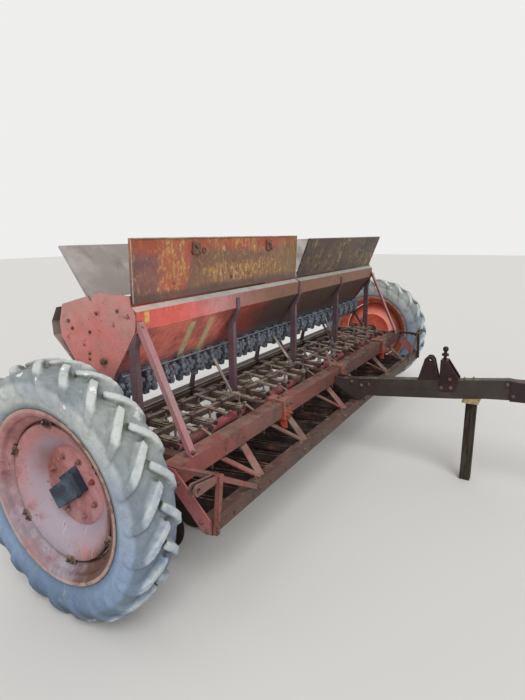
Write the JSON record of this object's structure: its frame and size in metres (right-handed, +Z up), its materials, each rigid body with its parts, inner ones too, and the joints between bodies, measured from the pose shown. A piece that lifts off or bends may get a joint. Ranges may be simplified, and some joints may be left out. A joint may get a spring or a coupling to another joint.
{
  "type": "seed drill",
  "caption": "Trailed row seed drill with two lidded hoppers on a truss frame, disc openers on drag arms, lift shafts, a central tongue on a prop and two lugged tyres.",
  "frame": {"origin": "centre of the bounding box on the floor", "axes": "+Z up, the tongue points to -Y, the wheels' axle runs along X"},
  "size_m": [4.6958, 3.53, 1.7705],
  "materials": {
    "beam_red": "faded red paint over rust",
    "frame_rust": "rusted frame paint with dust",
    "box_red": "sun-faded red paint",
    "end_salmon": "salmon red paint",
    "lid_rust": "flaked paint over rust",
    "bare_sheet": "dull bare sheet",
    "casting_orange": "orange red paint",
    "casting_grey": "dusty casting",
    "worn_steel": "worn steel with rust",
    "disc_steel": "rusted disc steel",
    "tongue_maroon": "dark maroon paint",
    "tyre": "dusty weathered rubber",
    "rim_pink": "faded red rim paint",
    "rim_orange": "orange red rim paint",
    "hub_black": "dark greasy hub",
    "wood": "weathered wood"
  },
  "bodies": {
    "chassis": {"upper_beam": "beam_red", "lower_beam": "frame_rust", "truss_braces": "beam_red", "frame_ends": "beam_red", "frame_rails": "frame_rust", "rear_beam": "frame_rust", "axle_brackets": "frame_rust", "stub_axles": "worn_steel", "marker_brackets": "beam_red", "beam_clamps": "casting_orange", "tongue_cheeks": "tongue_maroon", "tongue_beam": "tongue_maroon", "tongue_nose": "tongue_maroon", "hitch_clevis": "tongue_maroon", "cylinder_lugs": "tongue_maroon", "lift_tower": "tongue_maroon", "prop_post": "wood", "prop_board": "wood", "hopper_right": "box_red", "hopper_left": "box_red", "box_ends_right": "end_salmon", "box_ends_left": "box_red", "rear_shields": "bare_sheet", "lid_rails": "worn_steel", "box_stands": "frame_rust", "end_struts": "beam_red", "seed_meters": "casting_grey", "fertiliser_meters": "casting_grey", "feed_shafts": "worn_steel", "shaft_bearings": "frame_rust", "arm_hangers": "frame_rust", "footboard": "frame_rust"},
    "front_lid_right": {"front_lid_right": "lid_rust"},
    "front_lid_left": {"front_lid_left": "lid_rust"},
    "rear_lid_right": {"rear_lid_right": "bare_sheet"},
    "rear_lid_left": {"rear_lid_left": "bare_sheet"},
    "lift_shaft": {"lift_shaft": "beam_red"},
    "fork_shaft_front": {"fork_shaft_front": "worn_steel"},
    "fork_shaft_rear": {"fork_shaft_rear": "worn_steel"},
    "openers_front": {"opener_arms_front": "worn_steel", "opener_discs_front": "disc_steel"},
    "openers_rear": {"opener_arms_rear": "worn_steel", "opener_discs_rear": "disc_steel"},
    "rods_front": {"pressure_rods_front": "worn_steel"},
    "rods_rear": {"pressure_rods_rear": "worn_steel"},
    "wheel_right": {"tyre_right": "tyre", "rim_right": "rim_pink", "hub_right": "hub_black"},
    "wheel_left": {"tyre_left": "tyre", "rim_left": "rim_orange", "hub_left": "hub_black"}
  },
  "joints": [
    {"name": "front_lid_right_hinge", "type": "hinge", "parent": "chassis", "child": "front_lid_right", "pos_m": [0, 0.819, 1.484], "axis": [1, 0, 0], "range_deg": [-92, 19]},
    {"name": "front_lid_left_hinge", "type": "hinge", "parent": "chassis", "child": "front_lid_left", "pos_m": [0, 0.819, 1.484], "axis": [1, 0, 0], "range_deg": [-111, 0]},
    {"name": "rear_lid_right_hinge", "type": "hinge", "parent": "chassis", "child": "rear_lid_right", "pos_m": [0, 1.0985, 1.439], "axis": [1, 0, 0], "range_deg": [-57, 0]},
    {"name": "rear_lid_left_hinge", "type": "hinge", "parent": "chassis", "child": "rear_lid_left", "pos_m": [0, 1.0985, 1.439], "axis": [1, 0, 0], "range_deg": [-57, 0]},
    {"name": "openers_front_lift", "type": "hinge", "parent": "chassis", "child": "openers_front", "pos_m": [0, 0.341, 0.45], "axis": [1, 0, 0], "range_deg": [0, 14]},
    {"name": "openers_rear_lift", "type": "hinge", "parent": "chassis", "child": "openers_rear", "pos_m": [0, 0.341, 0.45], "axis": [1, 0, 0], "range_deg": [0, 14]},
    {"name": "rods_front_pin", "type": "hinge", "parent": "openers_front", "child": "rods_front", "pos_m": [0, 0.625, 0.41328], "axis": [1, 0, 0], "range_deg": [-14, 0]},
    {"name": "rods_rear_pin", "type": "hinge", "parent": "openers_rear", "child": "rods_rear", "pos_m": [0, 0.825, 0.41097], "axis": [1, 0, 0], "range_deg": [-14, 0]},
    {"name": "fork_front_turn", "type": "hinge", "parent": "chassis", "child": "fork_shaft_front", "pos_m": [0, 0.757, 0.736], "axis": [1, 0, 0], "range_deg": [-45, 0]},
    {"name": "fork_rear_turn", "type": "hinge", "parent": "chassis", "child": "fork_shaft_rear", "pos_m": [0, 0.957, 0.736], "axis": [1, 0, 0], "range_deg": [-45, 0]},
    {"name": "lift_shaft_turn", "type": "hinge", "parent": "chassis", "child": "lift_shaft", "pos_m": [0, 0.745, 0.616], "axis": [1, 0, 0], "range_deg": [-45, 0]},
    {"name": "wheel_right_axle", "type": "hinge", "parent": "chassis", "child": "wheel_right", "pos_m": [0, 0.865, 0.625], "axis": [1, 0, 0], "continuous": true},
    {"name": "wheel_left_axle", "type": "hinge", "parent": "chassis", "child": "wheel_left", "pos_m": [0, 0.865, 0.625], "axis": [1, 0, 0], "continuous": true}
  ],
  "couplings": [
    {"joint": "openers_rear_lift", "follows": "openers_front_lift", "ratio": 0.58678},
    {"joint": "rods_front_pin", "follows": "openers_front_lift", "ratio": -1},
    {"joint": "rods_rear_pin", "follows": "openers_front_lift", "ratio": -0.58678},
    {"joint": "fork_front_turn", "follows": "openers_front_lift", "ratio": -2.1515},
    {"joint": "fork_rear_turn", "follows": "openers_front_lift", "ratio": -2.1515},
    {"joint": "lift_shaft_turn", "follows": "openers_front_lift", "ratio": -2.1515}
  ]
}
